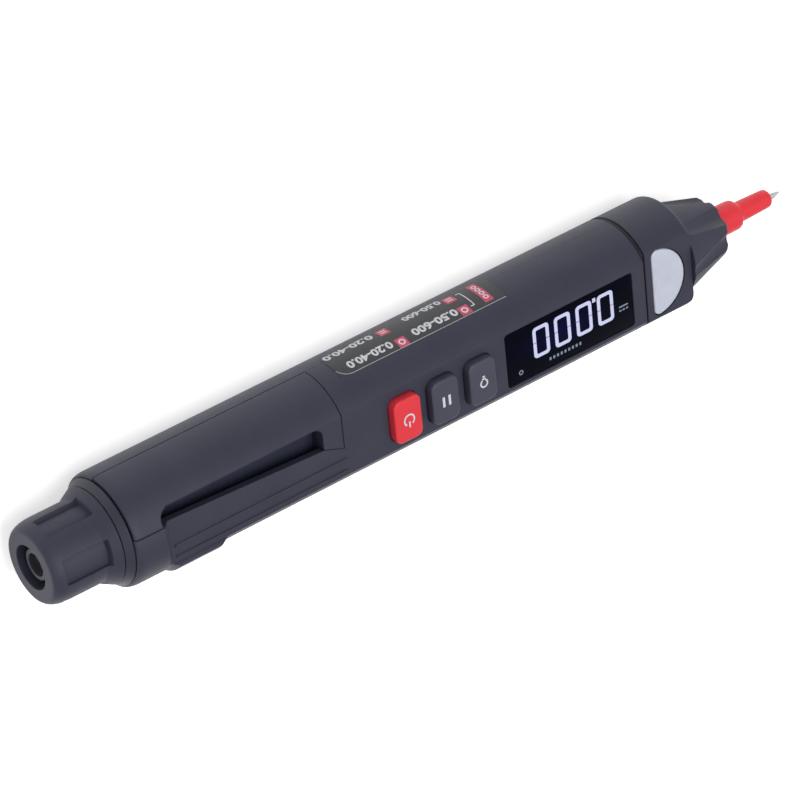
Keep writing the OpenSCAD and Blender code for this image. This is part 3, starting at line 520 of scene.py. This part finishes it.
def bar(u0, v0, u1, v1, width):
    """A straight stroke from one point to another."""
    along = Vector((u1 - u0, v1 - v0))
    side = Vector((-along.y, along.x)).normalized() * width / 2
    return [(u0 - side.x, v0 - side.y), (u1 - side.x, v1 - side.y),
            (u1 + side.x, v1 + side.y), (u0 + side.x, v0 + side.y)]


BOW_STEPS = 16


def bow(cu, cv, radius, width, start=0, end=360):
    """A stroke along an arc, in degrees."""
    angles = [math.radians(start + (end - start) * i / BOW_STEPS) for i in range(BOW_STEPS + 1)]
    inner, outer = ([(cu + r * math.cos(a), cv + r * math.sin(a)) for a in angles]
                    for r in (radius - width / 2, radius + width / 2))
    return [[outer[i], outer[i + 1], inner[i + 1], inner[i]] for i in range(BOW_STEPS)]


SIGN_LIFT = 0.06
SIGN_DROP_SHARE = 0.35


def on_key(name):
    """Signs read with the probe to the left: u runs rearwards, v away from the legend."""
    height = KEY_TOP - KEY_CROWN * SIGN_DROP_SHARE + SIGN_LIFT
    return lambda u, v, h: (KEY_XS[name] - u, KEY_Y - v, h + height)


# Opaque white ink, matt beside the satin keys.
white_ink = print_ink("white pad printing ink", "#E8E9EE")

STROKE = 0.38
POWER_RADIUS = 1.25
POWER_ARC = (125, 415)
POWER_BAR = (0.35, 1.75)
power_sign = bow(0, 0, POWER_RADIUS, STROKE, *POWER_ARC)
power_sign.append(bar(0, POWER_BAR[0], 0, POWER_BAR[1], STROKE))
printed("power_sign", power_sign, on_key("power_button"), white_ink, "power_button")

HOLD_U = 0.75
HOLD_HALF = 1.2
HOLD_STROKE = 0.6
hold_sign = [bar(u, -HOLD_HALF, u, HOLD_HALF, HOLD_STROKE) for u in (-HOLD_U, HOLD_U)]
printed("hold_sign", hold_sign, on_key("hold_button"), white_ink, "hold_button")

LAMP_V = 0.3
LAMP_RADIUS = 0.85
LAMP_ARC = (-60, 240)
LAMP_FOOT = ((-0.75, 0.45), (-1.3, 0.3))
lamp_sign = bow(0, LAMP_V, LAMP_RADIUS, STROKE, *LAMP_ARC)
lamp_sign += [bar(-half, v, half, v, STROKE) for v, half in LAMP_FOOT]
printed("lamp_sign", lamp_sign, on_key("function_button"), white_ink, "function_button")

# Display. A dark tinted acrylic pane, polished, lies just below the face. The lit segments
# of the liquid crystal show through it in cool white on deep blue.
PANE_X = (109.0, 142.9)
PANE_WIDTH = 12.8
PANE_TOP = 10.05
PANE_FOOT = 9.05
# each ring of the pane's polished edge: how far in, how far below the top, corner radius
PANE_EDGE = ((0, PANE_TOP - PANE_FOOT, 0.75), (0, 0.15, 0.75), (0.05, 0.04, 0.7), (0.15, 0, 0.6))
PANE_LENGTH = PANE_X[1] - PANE_X[0]
PANE_MIDDLE = sum(PANE_X) / 2

# Smoked acrylic is almost black with a sharp, weak reflection. The display behind it lights the
# pane a dim blue round the digits, which fades to black towards the ends.
GLOW_PLACE = (124.0, 1.0)
GLOW_SIZE = (13.0, 4.6)
HAZE_SIZE = 2 * MM
HAZE_SHARE = 0.15
pane_tint, tree, output, place = bare_material("black tinted acrylic over a lit display")
spread = add(tree, "ShaderNodeMapping", {"vector_type": "POINT"},
             {"Vector": place,
              "Location": (-GLOW_PLACE[0] / GLOW_SIZE[0], -GLOW_PLACE[1] / GLOW_SIZE[1], 0),
              "Scale": (1 / (GLOW_SIZE[0] * MM), 1 / (GLOW_SIZE[1] * MM), 0)})
fall = add(tree, "ShaderNodeTexGradient", {"gradient_type": "SPHERICAL"},
           {"Vector": spread.outputs[0]})
haze = add(tree, "ShaderNodeTexNoise", inputs={"Vector": place, "Scale": 1 / HAZE_SIZE})
share = add(tree, "ShaderNodeMath", {"operation": "MULTIPLY_ADD"},
            {0: haze.outputs["Fac"], 1: HAZE_SHARE, 2: fall.outputs["Fac"]})
tint = add(tree, "ShaderNodeMix", {"data_type": "RGBA"},
           {"Factor": share.outputs[0], "A": linear("#020308"), "B": linear("#0A0C40")})
skin = add(tree, "ShaderNodeBsdfPrincipled",
           inputs={"Base Color": linear("#020308"), "Roughness": 0.06, "IOR": 1.49,
                   "Specular IOR Level": 0.05, "Emission Color": tint.outputs["Result"],
                   "Emission Strength": 0.6})
tree.links.new(skin.outputs[0], output.inputs["Surface"])
pane_rings = [round_rect(PANE_LENGTH - 2 * inset, PANE_WIDTH - 2 * inset, radius,
                         (PANE_MIDDLE, 0), PANE_TOP - depth)
              for inset, depth, radius in PANE_EDGE]
pane = loft("display_pane", pane_rings, pane_tint, "housing")
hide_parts("display_window")
dress(["lcd_glass"], pane_tint)

DIGIT_WIDTH = 4.25
DIGIT_HEIGHT = 7.4
DIGIT_STROKE = 0.82
DIGIT_GAP = 0.07
DIGIT_CORNER = 0.9
DIGIT_INNER_CORNER = 0.45 * DIGIT_CORNER
DIGIT_CORNER_STEPS = 6
DIGIT_XS = (135.6, 129.85, 124.1, 118.4)
DIGIT_BASE_Y = 4.75
SEGMENT_LIFT = 0.005
SEGMENT_T = 0.02


def zero(cx):
    """A lit nought: two round cornered halves with a gap at half height, u rearwards from cx."""
    half = DIGIT_WIDTH / 2
    middle = DIGIT_HEIGHT / 2
    edges = []
    for inset, corner in ((0, DIGIT_CORNER), (DIGIT_STROKE, DIGIT_INNER_CORNER)):
        edge = [(half - inset, middle + DIGIT_GAP)]
        for i in range(DIGIT_CORNER_STEPS + 1):
            a = math.radians(90 * i / DIGIT_CORNER_STEPS)
            edge.append((half - inset - corner + corner * math.cos(a),
                         DIGIT_HEIGHT - inset - corner + corner * math.sin(a)))
        edges.append(edge + [(-u, v) for u, v in reversed(edge)])
    outer, inner = edges
    shapes = []
    for sign in (-1, 1):
        for i in range(len(outer) - 1):
            shape = [outer[i], outer[i + 1], inner[i + 1], inner[i]]
            shapes.append([(cx + u, middle + sign * (v - middle)) for u, v in shape])
    return shapes


def on_pane(u, v, h):
    """u rearwards from the pane's middle, v from the digits' base towards their tops."""
    return (PANE_MIDDLE - u, DIGIT_BASE_Y - v, PANE_TOP + SEGMENT_LIFT + h)


# Lit segments are flat and even, cool white, with no gloss of their own.
lit = print_ink("lit liquid crystal segment", "#D4D7F8", 1.0)
POINT_HALF = 0.4
POINT_HEIGHT = 1.0
digits = []
for x in DIGIT_XS:
    digits += zero(PANE_MIDDLE - x)
point_u = PANE_MIDDLE - (DIGIT_XS[0] + DIGIT_XS[1]) / 2
digits.append([(point_u - POINT_HALF, 0), (point_u + POINT_HALF, 0),
               (point_u + POINT_HALF, POINT_HEIGHT), (point_u - POINT_HALF, POINT_HEIGHT)])
printed("display_digits", digits, on_pane, lit, "housing", film=SEGMENT_T)

# The small signs are thinner, so they look dimmer: a row of ticks above the digits, a long and
# three short strokes at the front end and a ring at the rear one.
dim = print_ink("dim liquid crystal sign", "#8FA0B4", 0.8)
TICKS = 9
TICK_START = -2.4
TICK_PITCH = 1.0
TICK_ENDS = (8.75, 9.45)
TICK_WIDTH = 0.5
signs = []
for i in range(TICKS):
    u = TICK_START + i * TICK_PITCH
    signs.append(bar(u, TICK_ENDS[0], u, TICK_ENDS[1], TICK_WIDTH))
DASH_WIDTH = 0.35
LONG_DASH = (-15.6, -13.2)
LONG_DASH_V = 5.3
SHORT_DASHES = ((-15.6, -15.0), (-14.7, -14.1), (-13.8, -13.2))
SHORT_DASH_V = 6.2
signs.append(bar(LONG_DASH[0], LONG_DASH_V, LONG_DASH[1], LONG_DASH_V, DASH_WIDTH))
for start, end in SHORT_DASHES:
    signs.append(bar(start, SHORT_DASH_V, end, SHORT_DASH_V, DASH_WIDTH))
RING_PLACE = (13.4, 8.9)
RING_RADIUS = 0.45
RING_STROKE = 0.25
signs += bow(*RING_PLACE, RING_RADIUS, RING_STROKE)
printed("display_signs", signs, on_pane, dim, "housing", film=SEGMENT_T)

# Legend. A clear polycarbonate film fills its recess round the side, and so its border looks
# like the case. Inside a round cornered outline it is screen printed from behind in grey, with
# plain ranges in white and small red fields with generic signs.
BODY_R = 12.5
FILM_ANGLES = (66.06, 107.94)
FILM_X = (71.52, 114.48)
FILM_T = 0.2
FILM_CELL = 1.0
FRONT_CORNER = 1.0
REAR_CORNER = 3.0
FILM_CORNER_STEPS = 6
GROUND_T = 0.03
film_length = FILM_X[1] - FILM_X[0]
film_width = math.radians(FILM_ANGLES[1] - FILM_ANGLES[0]) * BODY_R


def on_side(u, v, h):
    """u runs rearwards along X from the film's front, v round the body towards the face."""
    a = math.radians(FILM_ANGLES[1]) - v / BODY_R
    r = BODY_R + h
    return (FILM_X[1] - u, r * math.sin(a), r * math.cos(a))


def at_height(lift):
    """on_side with every height raised by a lift."""
    return lambda u, v, h: on_side(u, v, h + lift)


border = [(0, 0), (film_length, 0), (film_length, film_width), (0, film_width)]
film = printed("legend_film", [border], at_height(-FILM_T), case_plastic, "housing",
               film=FILM_T, cell=FILM_CELL)
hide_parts("legend_label")

# Ink seen through the film is a smooth neutral grey, with a little of the film's gloss.
film_material = moulded("printed polycarbonate film", "#37383C", "#414246",
                        rough=0.48, grain=0.5, relief=0.005)
outline = []
for cu, cv, start, radius in (
        (film_length - REAR_CORNER, film_width - REAR_CORNER, 0, REAR_CORNER),
        (FRONT_CORNER, film_width - FRONT_CORNER, 90, FRONT_CORNER),
        (FRONT_CORNER, FRONT_CORNER, 180, FRONT_CORNER),
        (film_length - REAR_CORNER, REAR_CORNER, 270, REAR_CORNER)):
    for i in range(FILM_CORNER_STEPS + 1):
        a = math.radians(start + 90 * i / FILM_CORNER_STEPS)
        outline.append((cu + radius * math.cos(a), cv + radius * math.sin(a)))
printed("legend_ground", [outline], on_side, film_material, "housing",
        film=GROUND_T, cell=FILM_CELL)

# Painted highlight: the light that the clear film's cut edge catches is printed on as a pale line,
# here along the side towards the face and round its rear corner.
painted_edge_highlight = print_ink("painted highlight along film edge", "#B4B4BA")
EDGE_INSET = 0.1
EDGE_STROKE = 0.17
EDGE_STEPS = 30
EDGE_FRONT_U = 0.3
EDGE_T = 0.01
highlight_path = []
for i in range(1, FILM_CORNER_STEPS + 1):
    a = math.radians(90 * i / FILM_CORNER_STEPS)
    highlight_path.append((film_length - REAR_CORNER + (REAR_CORNER - EDGE_INSET) * math.cos(a),
                      film_width - REAR_CORNER + (REAR_CORNER - EDGE_INSET) * math.sin(a)))
for i in range(1, EDGE_STEPS + 1):
    share = i / EDGE_STEPS
    highlight_path.append(((film_length - REAR_CORNER) * (1 - share) + EDGE_FRONT_U * share,
                      film_width - EDGE_INSET))
highlight_strokes = [bar(*start, *end, EDGE_STROKE) for start, end in zip(highlight_path, highlight_path[1:])]
# The pale strokes laid here are a painted highlight, not ink on the real film.
printed("film_edge_highlight", highlight_strokes, at_height(GROUND_T), painted_edge_highlight, "housing",
        film=EDGE_T)


def side_v(angle):
    """How far round the side an angle lies, from the film's edge that is away from the face."""
    return math.radians(FILM_ANGLES[1] - angle) * BODY_R


# Screen ink is flat and matt. The fields are places (x, angle) of small squares, and one tall
# field stands by the bracket that joins the rows.
red_field = print_ink("red screen ink", "#DC4F72")
FIELD_HALF = 1.25
FIELDS = ((87.1, 96.6), (88.1, 72.8), (104.2, 95.4), (104.5, 73.4))
TALL_FIELD = (110.6, 86.2)
TALL_FIELD_HALF = (1.05, 3.5)
PRINT_T = 0.01
field_places = [(FILM_X[1] - x, side_v(angle)) for x, angle in FIELDS]
tall_u, tall_v = FILM_X[1] - TALL_FIELD[0], side_v(TALL_FIELD[1])


def block(u, v, half_u, half_v):
    """A printed rectangle round a point."""
    return [(u + su * half_u, v + sv * half_v) for su, sv in ((-1, -1), (1, -1), (1, 1), (-1, 1))]


field_shapes = [block(u, v, FIELD_HALF, FIELD_HALF) for u, v in field_places]
field_shapes.append(block(tall_u, tall_v, *TALL_FIELD_HALF))
printed("red_fields", field_shapes, at_height(GROUND_T), red_field, "housing",
        film=PRINT_T)

# Generic signs in white: two bars or a ring in the squares, and rings down the tall field.
BARS_HALF = (0.75, 0.4)
BARS_STROKE = 0.36
FIELD_RING = 0.62
FIELD_RING_STROKE = 0.34
TALL_STEPS = (-2.1, -0.7, 0.7, 2.1)
TALL_RING = 0.48
TALL_RING_STROKE = 0.3
BRACKET_X = 107.15
BRACKET_ANGLES = (98, 74)
BRACKET_ARM = 0.9
BRACKET_STROKE = 0.25
sign_strokes = []
for index, (u, v) in enumerate(field_places):
    if index % 2:
        sign_strokes += bow(u, v, FIELD_RING, FIELD_RING_STROKE)
    else:
        sign_strokes += [bar(u - BARS_HALF[0], v + step, u + BARS_HALF[0], v + step, BARS_STROKE)
                         for step in (BARS_HALF[1], -BARS_HALF[1])]
for step in TALL_STEPS:
    sign_strokes += bow(tall_u, tall_v + step, TALL_RING, TALL_RING_STROKE)
bracket_u = FILM_X[1] - BRACKET_X
bracket_ends = [side_v(angle) for angle in BRACKET_ANGLES]
sign_strokes.append(bar(bracket_u, bracket_ends[0], bracket_u, bracket_ends[1], BRACKET_STROKE))
for v in bracket_ends:
    sign_strokes.append(bar(bracket_u, v, bracket_u + BRACKET_ARM, v, BRACKET_STROKE))
printed("field_signs", sign_strokes, at_height(GROUND_T + PRINT_T), white_ink, "housing",
        film=PRINT_T)

TEXT_SIZE = 2.6
TEXT_T = 0.02
TEXT_CELL = 0.9
BOLDER = 0.04 * TEXT_SIZE
# text, where it starts (x, angle) and how wide it is stretched
RANGES = (("0.20-40.0", 84.6, 102.6, 1.26), ("0.20-40.0", 86.0, 80.0, 1.16),
          ("0.50-600", 102.4, 104.0, 1.04), ("0.50-600", 102.9, 80.4, 1.25))


def figures(name, text, to_space):
    """Plain numbers from the built-in outline font, laid on the film."""
    letters = bpy.data.curves.new(name, "FONT")
    letters.body = text
    letters.size = TEXT_SIZE
    letters.resolution_u = 3
    letters.align_x = "LEFT"
    letters.offset = BOLDER
    holder = bpy.data.objects.new(name, letters)
    bpy.context.scene.collection.objects.link(holder)
    flat = bpy.data.meshes.new_from_object(holder.evaluated_get(
        bpy.context.evaluated_depsgraph_get()))
    bpy.data.objects.remove(holder)
    work = bmesh.new()
    work.from_mesh(flat)
    lay_print(name, work, to_space, white_ink, "housing", TEXT_T, TEXT_CELL)


def row(x, angle, stretch):
    """A line of wide print that starts at x and reads rearwards at that angle round the body."""
    return lambda u, v, h: on_side(FILM_X[1] - x + stretch * u, side_v(angle) + v,
                                   h + GROUND_T + PRINT_T)


for number, (text, x, angle, stretch) in enumerate(RANGES, start=1):
    figures(f"range_{number}", text, row(x, angle, stretch))

# Head. The shell is the housing's ABS again. A frosted lens with a straight rear edge is
# welded into it over the work light's LED.
dress(["head_shell"], case_plastic)
LENS_X = 149.3
LENS_R = 7.9
LENS_CENTRE = 0.55
LENS_CORNER = 1.4
LENS_TOP = 9.2
LENS_T = 1.5
LENS_EDGE = 0.4
LENS_EDGE_STEPS = 5
LENS_CROWN = 0.06
LENS_CROWN_SHARE = 0.6
LENS_CROWN_PLACE = 4.0
LENS_MIDDLE = LENS_X + LENS_CROWN_PLACE
ROUND_STEPS = 24
LENS_CORNER_STEPS = 8
STRAIGHT_STEPS = 5


def lens_ring(inset, z, share=1.0):
    """The D outline with its two round corners, drawn in by inset, then shrunk to a share."""
    corner_y = math.sqrt((LENS_R - LENS_CORNER) ** 2 - (LENS_CORNER - LENS_CENTRE) ** 2)
    turn = math.degrees(math.atan2(corner_y, LENS_CORNER - LENS_CENTRE))
    radius = LENS_R - inset
    corner = LENS_CORNER - inset
    points = []
    for i in range(-ROUND_STEPS, ROUND_STEPS + 1):
        a = math.radians(turn * i / ROUND_STEPS)
        points.append((LENS_X + LENS_CENTRE + radius * math.cos(a), radius * math.sin(a)))
    for i in range(1, LENS_CORNER_STEPS + 1):
        a = math.radians(turn + (180 - turn) * i / LENS_CORNER_STEPS)
        points.append((LENS_X + LENS_CORNER + corner * math.cos(a),
                       corner_y + corner * math.sin(a)))
    for i in range(1, 2 * STRAIGHT_STEPS):
        points.append((LENS_X + inset, corner_y * (1 - i / STRAIGHT_STEPS)))
    for i in range(LENS_CORNER_STEPS):
        a = math.radians(180 + (180 - turn) * i / LENS_CORNER_STEPS)
        points.append((LENS_X + LENS_CORNER + corner * math.cos(a),
                       corner * math.sin(a) - corner_y))
    return [(LENS_MIDDLE + (x - LENS_MIDDLE) * share, y * share, z) for x, y in points]


# Frosting scatters the daylight that falls in, so the lens looks milky and faintly blue, with
# no clear view of the LED. The frost, finer than 0.1 mm, is drawn at 0.25 mm.
MILKY_PATCH = 5 * MM
FROST_GRAIN = 0.25 * MM
frosted, tree, output, place = bare_material("frosted polycarbonate")
cloud = add(tree, "ShaderNodeTexNoise",
            inputs={"Vector": place, "Scale": 1 / MILKY_PATCH, "Detail": 3})
tint = add(tree, "ShaderNodeMix", {"data_type": "RGBA"},
           {"Factor": cloud.outputs["Fac"], "A": linear("#C8CDDE"), "B": linear("#DCE1F0")})
frost = add(tree, "ShaderNodeTexNoise", inputs={"Vector": place, "Scale": 1 / FROST_GRAIN})
bump = add(tree, "ShaderNodeBump", inputs={"Height": frost.outputs["Fac"],
                                           "Distance": 0.01 * MM, "Strength": 0.4})
skin = add(tree, "ShaderNodeBsdfPrincipled",
           inputs={"Base Color": tint.outputs["Result"], "Roughness": 0.38, "IOR": 1.58,
                   "Normal": bump.outputs["Normal"], "Subsurface Weight": 0.3,
                   "Subsurface Scale": 1.5 * MM})
tree.links.new(skin.outputs[0], output.inputs["Surface"])
lens_rings = [lens_ring(0, LENS_TOP - LENS_T), lens_ring(0, LENS_TOP - LENS_EDGE)]
for i in range(1, LENS_EDGE_STEPS + 1):
    a = math.radians(90 * i / LENS_EDGE_STEPS)
    lens_rings.append(lens_ring(LENS_EDGE * (1 - math.cos(a)),
                                LENS_TOP - LENS_EDGE + LENS_EDGE * math.sin(a)))
lens_rings.append(lens_ring(LENS_EDGE, LENS_TOP + LENS_CROWN, LENS_CROWN_SHARE))
lens = loft("work_light_lens", lens_rings, frosted, "housing")
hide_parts("light_lens")

# Phosphor makes an unlit white LED look yellow, under resin as shiny as glass.
phosphor = moulded("yellow phosphor under clear resin", "#E8D45C", "#F2E37A",
                   rough=0.2, grain=0.4, relief=0.01)
dress(["light_led"], phosphor)

# Collar and probe. The collar is the case's ABS with seven flutes. The probe's insulator is
# red polyamide, stepped to a thin nose, and the needle is turned steel, nickel plated.
dress(["nose_collar"], case_plastic)
TURNED_SIDES = 64


def lathe(name, profile, material, body):
    """A turned piece about the pen's axis from (x, radius) pairs."""
    angles = [2 * math.pi * i / TURNED_SIDES for i in range(TURNED_SIDES)]
    rings = [[(x, r * math.cos(a), r * math.sin(a)) for a in angles] for x, r in profile]
    return loft(name, rings, material, body)


BORE_R = 0.75
SLEEVE_START = 166.5
SLEEVE_END = 189.0
NEEDLE_START = 140.0
NEEDLE_END = 192.4

# Polyamide takes the red deeply and keeps a soft sheen, with next to no grain.
red_nylon = moulded("red polyamide", "#F43440", "#FC444E", rough=0.42, grain=0.3, relief=0.008)
insulator_profile = [
    (SLEEVE_START, BORE_R), (SLEEVE_START, 3.4),
    (178.1, 3.36), (179.1, 3.3), (179.5, 3.15), (179.75, 2.9), (179.9, 2.6), (180.2, 2.36),
    (180.8, 2.27), (182.9, 2.22), (187.1, 2.1), (188.2, 2.05), (188.65, 1.9), (188.9, 1.65),
    (SLEEVE_END, 1.4), (SLEEVE_END, BORE_R)]
insulator = lathe("probe_sleeve", insulator_profile, red_nylon, "probe")
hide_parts("probe_insulator")
needle_profile = [
    (NEEDLE_START, BORE_R), (188.95, BORE_R), (188.95, 0.9), (190.1, 0.9), (190.4, 0.86),
    (191.8, 0.42), (192.2, 0.25), (192.37, 0.12), (NEEDLE_END, 0.02)]
needle = lathe("probe_tip", needle_profile, nickel, "probe")
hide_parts("probe_needle")
